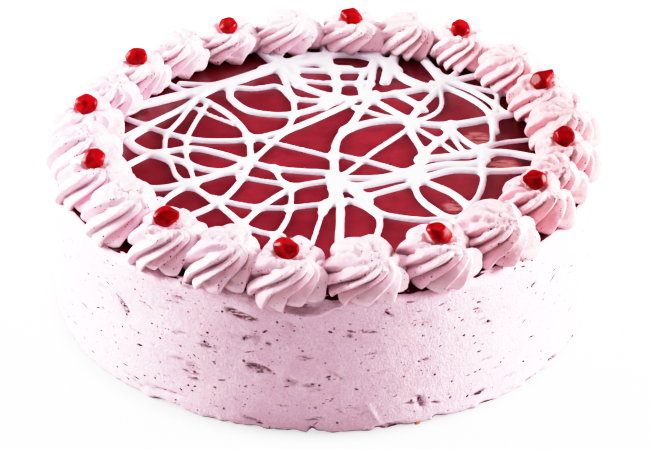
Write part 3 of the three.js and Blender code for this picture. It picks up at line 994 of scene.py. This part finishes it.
swirlLook = {
    "seed": 24,
    "ridgeSeed": 100,
    "ridges": 10,
    "columnsPerRidge": 18,
    "sideRows": 36,
    "broader": 2.4,            # how many fewer a turn would hold where they are broadest
    "broaderAt": math.radians(28),
    "frontColumns": 0.4,       # how much closer columns are on the side that faces the viewer
    "tall": 15.5 * mm,
    "tallSpread": 1.0 * mm,
    "belly": 17.4 * mm,
    "bellySpread": 0.025,
    "bellyGrowth": 0.7,
    "squareness": 0.46,        # 1 is a round dome, less is more like a drum
    "sideRound": 0.8,
    "footRound": 0.75,
    "footShare": 0.36,         # how much of it curls in below the belly, against what is above
    "undercut": math.radians(-38),
    "crown": math.radians(60),
    "sunk": 0.3 * mm,
    "crownLean": 1.3 * mm,
    "pull": 3.2 * mm,          # how far the crown was drawn aside as the nozzle left it
    # where ridges crowd, right of the front: at the foot and on top
    "gatherAt": (math.radians(-8), math.radians(40)),
    "gather": (0.34, 0.74),    # how much they do so, 1 is all in one spot
    "gatherAside": (0.22, 0.50),  # the same for the rosettes away from the front
    "gatherRise": 1.2,         # above 1 ridges start upright at the foot
    "twist": math.radians(30),
    "drift": (0.16, 0.09, 0.06),  # how far ridges stray in one, two and three waves a turn
    "slope": 4.0 * mm,         # how far the crown falls to the right
    "narrowing": 0.13,         # how much farther in its edge is there
    "rearShift": 4.5 * mm,     # how much farther out the rear ones stand at the foot
    "rightShift": 1.6 * mm,    # the same for the ones on the right
    "rearSqueeze": 0.25,       # how much less they reach inwards
    "groove": 4.2 * mm,
    "rightGroove": 0.6,        # how much deeper it is on the right
    "rearGroove": 0.5,         # how much of it is left on the far side of the crown
    "farGroove": 0.5,          # how much shallower it is on the side away from the viewer
    "footGroove": 0.55,
    "footGrooveTo": (0.0, 0.3),
    "crownGroove": 3.0 * mm,
    "crownGrooveFrom": (0.7, 1.0),
    "seatGroove": 0.9 * mm,
    "plainGroove": 1.7 * mm,
    "innerGrooveFrom": (0.4, 1.0),
    "seat": 0.4,               # the share of the top under a grain where grooves fade out
    "seatFolds": (0.3, 0.55),
    "seatShift": (0.25, 1.0),
    "plainShift": 0.5,         # how far the middle of a top without a grain shifts, against its edge
    "shiftRise": 1.5,
    "underReach": (0.0, 0.5, 0.86),
    "underGroove": (0.0, 0.5, 0.9),
    "tip": 1.0 * mm,
    "tipWide": 0.12,
    "lean": (0.42, 0.34),      # where the groove lies between two ridges, on the left and on the right
    "steepRound": (1.7, 1.5),  # above 1 a face is round, below 1 it is hollow
    "broadRound": (1.4, 0.95),
    "crestRound": 0.06,
    "overhang": 0.1,
    # how much the ridges of one rosette differ: in depth, reach, and at the foot in reach and drop
    "ridgeDepth": (0.75, 1.2),
    "ridgeOut": (-0.7 * mm, 0.7 * mm),
    "fingerOut": (-0.6 * mm, 1.5 * mm),
    "fingerDown": (-0.8 * mm, 1.2 * mm),
    "tear": 0.4 * mm,
    "tearCell": 1.7 * mm,
    "tearSeed": 80,
    "lumps": 0.4 * mm,
    "folds": 0.8 * mm,         # how uneven the crown is
    "foldsFrom": (1.0, 0.85),
    # share, cell and seed of the bumps in both
    "lumpLayers": ((1.0, 7 * mm, 0), (0.45, 2.2 * mm, 50)),
    "foldLayers": ((0.8, 4 * mm, 30), (1.0, 1.9 * mm, 60)),
    "droop": 1.8 * mm,         # how far the outer foot may hang over the lip
    "droopShare": (0.4, 1.0),
    "bigDroop": 3.0 * mm,
    "bigDroopAt": math.radians(187),
    "bigDroopWithin": math.radians(7),
    "droopAt": (5 * mm, 16 * mm),
    "overlap": 4.0 * mm,
    "pressFrom": 0.85,         # from this share of its room on a rosette gives way
    "solidFrom": 6 * mm,       # nearer the axis than this it differs less from ridge to ridge
    "faceShade": (0.15, 0.45),  # how much deeper in colour the broad faces are, on the left and on the right
    "leftShade": 0.6,          # how much of that is left on the cake's left
    "grooveShade": (0.82, 1.0),
    "grooveEnd": (1.0, 0.92),
    "paleGroove": 0.3,         # how much less dark grooves are on the left
    "rearLightPaint": 0.6,           # how much lighter the painted groove and face shade is at the rear
    "crestHighlight": 0.9,
    "footShade": 0.8,
    # from which to which part of a ridge's fall its painted shade and painted highlight come in
    "faceFrom": (0.05, 0.3),
    "grooveFrom": 0.45,
    "crestTo": (0.14, 0.0),
    # where on the cake these changes come in, by the sine or cosine of the bearing
    "rearFrom": (0.3, 0.95),
    "rightFrom": (0.3, 0.9),
    "asideFrom": (-0.85, -0.3),
    "paleFrom": (0.1, 0.8),
    "leftShadeTo": (-0.7, 0.1),
    # and where on a rosette: by the sine or cosine of the way it looks, or by how far up it is
    "rightSide": (-0.6, 0.6),
    "farSide": (0.0, 0.6),
    "slopeFrom": (0.15, 0.75),
    "crownFrom": (0.85, 1.0),
    "footTo": (0.35, 0.0),
    "footShadeTo": (0.2, 0.0),
    # and by how far it is from where ridges meet
    "fullGroove": 0.75,
    "mostGroove": 1.1,
    "fullColour": 0.3,
    "farCrown": (0.7, 1.4),
}
# the top from its edge to its middle: share of the edge's radius, then how far it rises
# under a grain and without one, in millimetres
crownSteps = (
    (0.92, 0.2, 0.3),
    (0.83, 0.4, 0.6),
    (0.74, 0.5, 0.9),
    (0.65, 0.5, 1.1),
    (0.56, 0.35, 1.3),
    (0.47, -0.1, 1.4),
    (0.40, -1.0, 1.4),
    (0.30, -2.5, 1.3),
    (0.17, -3.2, 1.2),
    (0.0, -3.3, 1.2),
)
grainOverCrown = 1.5 * mm


def swirlStands():
    seats = []
    for name in sorted(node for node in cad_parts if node.startswith("berry")):
        low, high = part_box(name)
        middle = (low + high) / 2
        seats.append({
            "bearing": math.atan2(middle.x, middle.y) % fullTurn,
            "radius": math.hypot(middle.x, middle.y),
            "lift": middle.z - grainOverCrown - swirlFoot - swirlLook["tall"],
            "grain": name,
        })
    stands = []
    for index, seat in enumerate(seats):
        after = seats[(index + 1) % len(seats)]
        step = (after["bearing"] - seat["bearing"]) % fullTurn
        stands.append(seat)
        stands.append({
            "bearing": seat["bearing"] + step / 2,
            "radius": (seat["radius"] + after["radius"]) / 2,
            "lift": (seat["lift"] + after["lift"]) / 2,
            "grain": None,
        })
    return stands


def drawSwirls(stands):  # heights, leans and turns, drawn in the order of the solids
    look = swirlLook
    draw = seededDraw(look["seed"])

    def spread():
        return 2 * draw() - 1

    count = len(stands)
    for index, stand in enumerate(stands):
        before = (stand["bearing"] - stands[index - 1]["bearing"]) % fullTurn / 2
        after = (stands[(index + 1) % count]["bearing"] - stand["bearing"]) % fullTurn / 2
        freedom = 0 if stand["grain"] else 1
        stand["halfAngles"] = (before, after)
        stand["height"] = look["tall"] + stand["lift"] + freedom * look["tallSpread"] * spread()
        stand["leanOut"] = freedom * look["crownLean"] * spread()
        stand["leanAside"] = freedom * look["crownLean"] * spread()
        roominess = (before + after) * count / fullTurn
        uneven = 1 + look["bellySpread"] * spread()
        stand["belly"] = look["belly"] * uneven * roominess ** look["bellyGrowth"]
        stand["phase"] = draw() * math.pi
        if stand["grain"]:  # two draws that turn and tilt a grain of the solids, taken to stay in step
            draw()
            draw()
    return stands


def pressed(value, limit):  # gives way softly before a limit
    start = swirlLook["pressFrom"] * limit
    room = limit - start
    return np.where(value > start, start + room * (1 - np.exp(-(value - start) / room)), value)


def swirlProfile(stand):  # rows from the foot to the middle of the top, what each holds is named in place()
    look = swirlLook
    seated = bool(stand["grain"])
    slopes = np.linspace(look["undercut"], look["crown"], look["sideRows"] + 1)
    curl = look["footShare"] / math.sin(look["undercut"])
    above = np.abs(np.sin(slopes)) ** look["sideRound"]
    rise = np.where(slopes < 0, -curl * np.sin(slopes), above)
    rise = (rise - rise[0]) / (rise[-1] - rise[0])
    radii = stand["belly"] * np.cos(slopes) ** np.where(slopes < 0, look["footRound"], look["squareness"])
    share, seatedRise, plainRise = np.array(crownSteps).T
    crownRise = (seatedRise if seated else plainRise) * mm
    radii = np.concatenate([radii, radii[-1] * share])
    heights = np.concatenate([stand["height"] * rise, stand["height"] + crownRise])
    outward = np.gradient(heights)
    upward = -np.gradient(radii)
    length = np.hypot(outward, upward)
    side = np.linspace(0, 1, look["sideRows"] + 1)
    nearCrown = smoothStep(side, *look["crownGrooveFrom"])
    sideDepth = between((look["groove"], look["crownGroove"]), nearCrown)
    sideDepth *= between((look["footGroove"], 1), smoothStep(rise, *look["footGrooveTo"]))
    inner = look["seatGroove"] if seated else look["plainGroove"]
    crownDepth = between((inner, look["crownGroove"]), smoothStep(share, *look["innerGrooveFrom"]))
    folds = smoothStep(share, *look["foldsFrom"])
    shift = between((look["plainShift"], 1), share)
    if seated:  # the seat under a grain is smooth and stays where it is
        crownDepth *= np.clip(share / look["seat"], 0, 1)
        folds *= smoothStep(share, *look["seatFolds"])
        shift = smoothStep(share, *look["seatShift"])
    depth = np.concatenate([sideDepth, crownDepth])
    hub = np.concatenate([np.ones(len(rise)), share])
    climb = np.concatenate([rise, np.ones(len(share))])
    folds = np.concatenate([0 * rise, folds])
    shift = np.concatenate([rise ** look["shiftRise"], shift])
    profile = np.stack([radii, heights, outward / length, upward / length, depth, hub, climb, folds, shift])
    under = np.repeat(profile[:, :1], 3, axis=1)  # the underside, from its middle out
    under[0] *= look["underReach"]
    under[4] *= look["underGroove"]
    return np.concatenate([under, profile], axis=1)


def swirlRosette(index, stand, material):
    look = swirlLook
    ridges = look["ridges"]
    pitch = fullTurn / ridges
    rng = np.random.default_rng(look["ridgeSeed"] + index)

    def eachRidge(ends):  # a draw for each ridge, and the first one again to close the ring
        values = rng.uniform(*ends, ridges + 1)
        values[-1] = values[0]
        return values

    ridgeDepth = eachRidge(look["ridgeDepth"])
    ridgeOut = eachRidge(look["ridgeOut"])
    fingerOut = eachRidge(look["fingerOut"])
    fingerDown = eachRidge(look["fingerDown"])
    wander = rng.uniform(0, fullTurn, len(look["drift"]))
    droop = rng.uniform(*look["droopShare"]) * look["droop"]
    if abs(stand["bearing"] - look["bigDroopAt"]) < look["bigDroopWithin"]:
        droop = look["bigDroop"]
    profile = swirlProfile(stand)
    sine = math.sin(stand["bearing"])
    cosine = math.cos(stand["bearing"])
    leanOut = stand["leanOut"] + look["pull"] * sine
    leanAside = stand["leanAside"] - look["pull"] * cosine
    facing = math.atan2(-sine, -cosine)
    toRear = smoothStep(cosine, *look["rearFrom"])
    onRight = smoothStep(sine, *look["rightFrom"])
    aside = smoothStep(cosine, *look["asideFrom"])
    gather = between(np.array([look["gather"], look["gatherAside"]]), aside)
    rearLightPaint = look["rearLightPaint"] * toRear
    dim = 1 - max(look["paleGroove"] * smoothStep(-sine, *look["paleFrom"]), rearLightPaint)
    leftShade = between((look["leftShade"], 1), smoothStep(sine, *look["leftShadeTo"]))
    faceShade = np.array(look["faceShade"]) * leftShade * (1 - rearLightPaint)

    def place(across, row):
        angle = fullTurn * across
        angle = angle - look["frontColumns"] * np.sin(angle - facing)
        seen = angle - facing  # 0 looks at the viewer, above 0 is to the right
        radius, height, outward, upward, cut, hub, climb, folds, shift = profile[:, row]

        # which ridge a point belongs to, and where between two crests it lies
        gathered = climb ** look["gatherRise"]
        gatherAt = between(look["gatherAt"], gathered)
        fromApex = hub * np.exp(1j * (seen - gatherAt)) - between(gather, gathered)
        far = np.abs(fromApex)
        around = np.angle(fromApex) + gatherAt - look["twist"] * gathered
        waves = enumerate(zip(look["drift"], wander), start=1)
        drift = sum(size * np.sin(count * around + start) for count, (size, start) in waves)
        nozzle = (around + drift - stand["phase"]) / pitch
        nozzle = nozzle - look["broader"] * np.sin(around - look["broaderAt"]) / fullTurn
        ridge = np.floor(nozzle).astype(int) % ridges
        part = nozzle - np.floor(nozzle)
        crest = smoothStep(part, 0, 1)

        def eased(values):  # from a ridge's own value to the next one's
            return between((values[ridge], values[ridge + 1]), crest)

        # how far it falls from crest to groove
        toRight = smoothStep(np.sin(seen), *look["rightSide"])
        lean = between(look["lean"], toRight)
        steep = (part / lean) ** between(look["steepRound"], toRight)
        gentle = ((1 - part) / (1 - lean)) ** between(look["broadRound"], toRight)
        gentle = (np.hypot(gentle, look["crestRound"]) - look["crestRound"]) * (1 + look["crestRound"])
        fall = np.where(part < lean, steep, gentle)
        onCrown = smoothStep(climb, *look["crownFrom"])
        opened = np.clip(far / look["fullGroove"], 0, look["mostGroove"])
        depth = cut * opened * (1 + look["rightGroove"] * toRight)
        depth *= 1 - look["farGroove"] * smoothStep(-np.cos(seen), *look["farSide"])
        depth *= 1 - (1 - look["rearGroove"]) * onCrown * smoothStep(far, *look["farCrown"])

        # the smooth form, then its ridges
        farRight = smoothStep(radius / stand["belly"] * np.sin(seen), *look["slopeFrom"])
        radius = radius * (1 - look["narrowing"] * climb**2 * farRight)
        height = height - look["slope"] * climb**2 * farRight
        atFoot = smoothStep(climb, *look["footTo"])
        solid = np.clip(radius / look["solidFrom"], 0, 1)
        smooth = np.stack([radius * np.cos(angle), radius * np.sin(angle), height], axis=1)
        tears = np.maximum(lumps(smooth, look["tearCell"], look["tearSeed"] + index), 0)
        torn = look["tear"] * tears * (1 - fall) ** 3
        finger = eased(fingerOut) * atFoot * (1 - fall**2)
        stretch = (eased(ridgeOut) + finger - torn) * solid - depth * ridgeDepth[ridge] * fall
        reach = np.maximum(radius + stretch * outward, 0)
        hang = eased(fingerDown) + droop * smoothStep(smooth[:, 0], *look["droopAt"])
        tip = look["tip"] * np.exp(-((far / look["tipWide"]) ** 2))
        rise = height + stretch * upward - hang * atFoot + tip
        swung = angle + look["overhang"] * (1 - fall) ** 2 * solid
        x = reach * np.cos(swung)
        x = x - toRear * look["rearSqueeze"] * np.minimum(x, 0)
        x = x + (toRear * look["rearShift"] + onRight * look["rightShift"]) * (1 - climb) + leanOut * shift
        y = reach * np.sin(swung) + leanAside * shift
        raw = np.stack([x, y, rise], axis=1)

        def bumps(layers):
            return sum(share * lumps(raw, cell, seed + index) for share, cell, seed in layers)

        bulge = look["lumps"] * bumps(look["lumpLayers"]) * solid
        bulge += look["folds"] * folds * bumps(look["foldLayers"])

        # in place on the rim, pressed against its neighbours
        room = stand["radius"] + x + bulge * outward * np.cos(angle)
        y = y + bulge * outward * np.sin(angle)
        y = pressed(y, room * math.tan(stand["halfAngles"][0]) + look["overlap"])
        y = -pressed(-y, room * math.tan(stand["halfAngles"][1]) + look["overlap"])
        rise = swirlFoot - look["sunk"] + rise + bulge * upward
        places = np.stack([room * sine - y * cosine, room * cosine + y * sine, rise], axis=1)

        # painted shade on the broad faces, in the grooves and at the foot, and below 0 the painted highlight
        # on the crests
        creaseShade = between(faceShade, toRight) * smoothStep(fall, *look["faceFrom"])
        groove = smoothStep(fall, look["grooveFrom"], between(look["grooveEnd"], toRight))
        creaseShade = np.maximum(creaseShade, dim * between(look["grooveShade"], toRight) * groove)
        creaseShade = creaseShade * np.clip(2 * cut / look["groove"], 0, 1) * np.clip(far / look["fullColour"], 0, 1)
        creaseShade -= look["crestHighlight"] * smoothStep(fall, *look["crestTo"])
        return places, np.maximum(creaseShade, look["footShade"] * smoothStep(climb, *look["footShadeTo"]))

    shape = rolledGrid(ridges * look["columnsPerRidge"], profile.shape[1] - 1, place, "creaseShade")
    name = f"{index + 1:02d}"
    return addPiece(f"swirl_{name}", shape, material, "rosette_cream", f"rosette_{name}")


# fruit grains: juicy, many-sided and pointed at one end

grainLook = {
    "seed": 300,
    "halfWidth": 4.232 * mm,
    "halfLength": 5.152 * mm,
    "flatness": 0.93,
    "point": 0.28,             # how much it narrows to its tip
    "pointEnds": (0.0, 1.1),
    "tipFrom": 0.5,
    "tipLonger": 0.12,
    "facets": 8.0,             # how sharply its faces meet
    "uneven": (-0.1, 0.14),    # how much its faces differ in distance and in direction
    "skew": 0.12,
    "turns": (90, -90),
    "turnSpread": 28,
    "tilt": math.radians(75),
    "tiltShare": (0.7, 1.3),
    "shadeCell": 5 * mm,
    "shades": (0.35, 0.65),
    "colour": (0.35, 0.001, 0.004),
    "core": (0.17, 0.0, 0.002),
    "toRight": ((0.6, 0.85), (0.0, 0.6)),  # how much darker the right ones are
}


def fruitGrain(stand, material):
    look = grainLook
    number = int(stand["grain"][-2:])
    rng = np.random.default_rng(look["seed"] + number)
    shape = bmesh.new()
    bmesh.ops.create_icosphere(shape, subdivisions=4, radius=1)
    knob = bmesh.new()
    bmesh.ops.create_icosphere(knob, subdivisions=1, radius=1)
    faces = np.array([vert.co for vert in knob.verts])
    knob.free()
    faces = faces * (1 + rng.uniform(*look["uneven"], (len(faces), 1)))
    faces = faces + rng.uniform(-look["skew"], look["skew"], faces.shape)
    ways = np.array([vert.co for vert in shape.verts])
    along = np.maximum(ways @ faces.T, 1e-6)
    reach = (along ** look["facets"]).sum(axis=1) ** (-1 / look["facets"])
    points = ways * reach[:, None]
    taper = 1 - look["point"] * smoothStep(points[:, 2], *look["pointEnds"])
    longer = 1 + look["tipLonger"] * np.maximum(points[:, 2] - look["tipFrom"], 0)
    points *= np.stack([taper, taper, longer], axis=1)
    points *= (look["halfWidth"], look["halfWidth"], look["halfLength"])
    for vert, point in zip(shape.verts, points):
        vert.co = point
    low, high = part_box(stand["grain"])
    middle = Matrix.Translation((low + high) / 2)
    squash = Matrix.Scale(look["flatness"], 4, (0, 0, 1))
    heading = rng.choice(look["turns"]) + rng.normal(0, look["turnSpread"])
    turn = Matrix.Rotation(math.radians(heading), 4, "Z")
    tilt = Matrix.Rotation(look["tilt"] * rng.uniform(*look["tiltShare"]), 4, "X")
    bmesh.ops.transform(shape, matrix=middle @ squash @ turn @ tilt, verts=shape.verts)
    bmesh.ops.recalc_face_normals(shape, faces=shape.faces)
    return addPiece(f"fruitGrain_{number:02d}", shape, material, "berry", stand["grain"])


def grainMaterial():
    look = grainLook
    material, tree, shader = newMaterial("redFruit")
    shade = ranged(tree, noiseField(tree, look["shadeCell"], 2), *look["shades"])
    shade = calc(tree, "SUBTRACT", shade, towards(tree, right, *look["toRight"]))
    setInputs(tree, shader, {
        "Base Color": mixed(tree, shade, look["core"], look["colour"]),
        "Roughness": 0.16,
        "Transmission Weight": 0.3,
        "IOR": 1.18,
        "Specular IOR Level": 0.15,
    })
    return material


# studio: white floor, soft boxes at both sides, a weaker one above and a white card in front

studioLook = {
    "target": (0.92 * mm, 0.0, 27.39 * mm),
    "distance": 951.7 * mm,
    "elevation": math.radians(30.74),
    "roll": math.radians(0.26),
    "lens": 117.9,
    "sensor": 36,
    "clip": (0.05, 30),
    "lightAim": (0, 0, 50 * mm),
    "boxes": (
        # bearing from the camera's side, distance, height, size, power
        (-104, 0.80, 0.22, 0.50, 42),
        (97, 0.80, 0.22, 0.50, 43),
    ),
    # place, size, power
    "topBox": ((0, -0.05, 1.0), 0.7, 6),
    "frontCard": ((0, -1.1, 0.75), 0.6, 0.7),
    "backCard": ((0.72, 1.72, 1.08), 1.2, 1.3),  # only what shines sees it
    "air": 0.12,
    "floorHalf": 6,
    "floorColour": (0.42, 0.42, 0.42, 1),
    "floorGlow": 0.20,
    "floorSeen": 1.4,          # how bright the camera sees it
    "contactShadow": 0.5,            # how bright the painted contact shadow leaves it right below the cake
    "contactAt": (-3 * mm, -4 * mm, 0),
    "contactInset": 5 * mm,
    "contactReach": 9 * mm,
}


def areaLight(name, spot, size, power):
    lamp = bpy.data.lights.new(name, "AREA")
    lamp.shape = "SQUARE"
    lamp.size = size
    lamp.energy = power
    light = bpy.data.objects.new(name, lamp)
    light.location = spot
    aim = Vector(studioLook["lightAim"]) - Vector(spot)
    light.rotation_euler = aim.to_track_quat("-Z", "Y").to_euler()
    bpy.context.scene.collection.objects.link(light)
    return light


def studioLights():
    look = studioLook
    for number, (bearing, distance, height, size, power) in enumerate(look["boxes"]):
        turn = math.radians(bearing)
        spot = (distance * math.sin(turn), -distance * math.cos(turn), height)
        areaLight(f"sideBox{number + 1}", spot, size, power)
    areaLight("topBox", *look["topBox"])
    areaLight("frontCard", *look["frontCard"])
    areaLight("backCard", *look["backCard"]).visible_diffuse = False
    world = bpy.context.scene.world or bpy.data.worlds.new("air")
    bpy.context.scene.world = world
    world.use_nodes = True
    air = world.node_tree.nodes["Background"]
    setInputs(world.node_tree, air, {"Color": (1, 1, 1, 1), "Strength": look["air"]})


def floorMaterial():
    look = studioLook
    material, tree, shader = newMaterial("whiteFloor")
    seen = addNode(tree, "ShaderNodeLightPath").outputs["Is Camera Ray"]
    contactShadow = {0: objectPlace(tree), 1: look["contactAt"]}
    away = addNode(tree, "ShaderNodeVectorMath", contactShadow, operation="DISTANCE").outputs["Value"]
    edge = cakeRadius - look["contactInset"]
    # a painted contact shadow on the floor round the cake, seen by the camera only
    bright = ranged(tree, away, edge, edge + look["contactReach"], look["contactShadow"], 1.0)
    glow = addNode(tree, "ShaderNodeMapRange", {
        "Value": seen,
        "To Min": look["floorGlow"],
        "To Max": calc(tree, "MULTIPLY", bright, look["floorSeen"]),
    })
    setInputs(tree, shader, {
        "Base Color": look["floorColour"],
        "Roughness": 0.9,
        "Specular IOR Level": 0.0,
        "Emission Color": (1, 1, 1, 1),
        "Emission Strength": glow.outputs["Result"],
    })
    return material


def whiteFloor(material):
    shape = bmesh.new()
    bmesh.ops.create_grid(shape, x_segments=1, y_segments=1, size=studioLook["floorHalf"])
    mesh = bpy.data.meshes.new("floor")
    shape.to_mesh(mesh)
    shape.free()
    mesh.materials.append(material)
    floor = bpy.data.objects.new("floor", mesh)
    bpy.context.scene.collection.objects.link(floor)


def studioCamera():
    look = studioLook
    camera = bpy.data.objects.new("camera", bpy.data.cameras.new("camera"))
    bpy.context.scene.collection.objects.link(camera)
    bpy.context.scene.camera = camera
    camera.data.lens = look["lens"]
    camera.data.sensor_width = look["sensor"]
    camera.data.clip_start, camera.data.clip_end = look["clip"]
    away = Vector((0, -math.cos(look["elevation"]), math.sin(look["elevation"])))
    camera.location = Vector(look["target"]) + look["distance"] * away
    facing = (-away).to_track_quat("-Z", "Y").to_matrix().to_4x4()
    camera.rotation_euler = (facing @ Matrix.Rotation(look["roll"], 4, "Z")).to_euler()


# film: bright parts roll off softly to white, and the deepest gaps go to black

filmCurve = {
    "white": 3.0,
    # brightness, and how bright it is shown
    "points": (
        (0.03, 0.022),
        (0.1, 0.09),
        (0.3, 0.3),
        (0.65, 0.645),
        (0.84, 0.745),
        (1.0, 0.825),
        (1.26, 0.88),
        (1.6, 0.93),
        (2.0, 0.965),
    ),
}


def film():
    settings = bpy.context.scene.view_settings
    settings.view_transform = "Standard"
    settings.look = "None"
    settings.use_curve_mapping = True
    mapping = settings.curve_mapping
    mapping.white_level = [filmCurve["white"]] * 3
    curve = mapping.curves[3]
    for bright, shown in filmCurve["points"]:
        curve.points.new(bright / filmCurve["white"], shown)
    mapping.update()


studioLights()
whiteFloor(floorMaterial())
studioCamera()
film()
print("studio ready")

cakeSide(creamMaterial("sideCream"))
pulpFlecks(fleckMaterial())
baseCrumb(crumbMaterial())
print("cream side ready")

jellySheet(jellyMaterial("redJelly"), jellyMaterial("jellyRim"))
icingNet(icingMaterial())
print("jelly and icing ready")

swirlCream = creamMaterial("swirlCream")
grainRed = grainMaterial()
for index, stand in enumerate(drawSwirls(swirlStands())):
    swirlRosette(index, stand, swirlCream)
    if stand["grain"]:
        fruitGrain(stand, grainRed)
print("rosettes and grains ready")
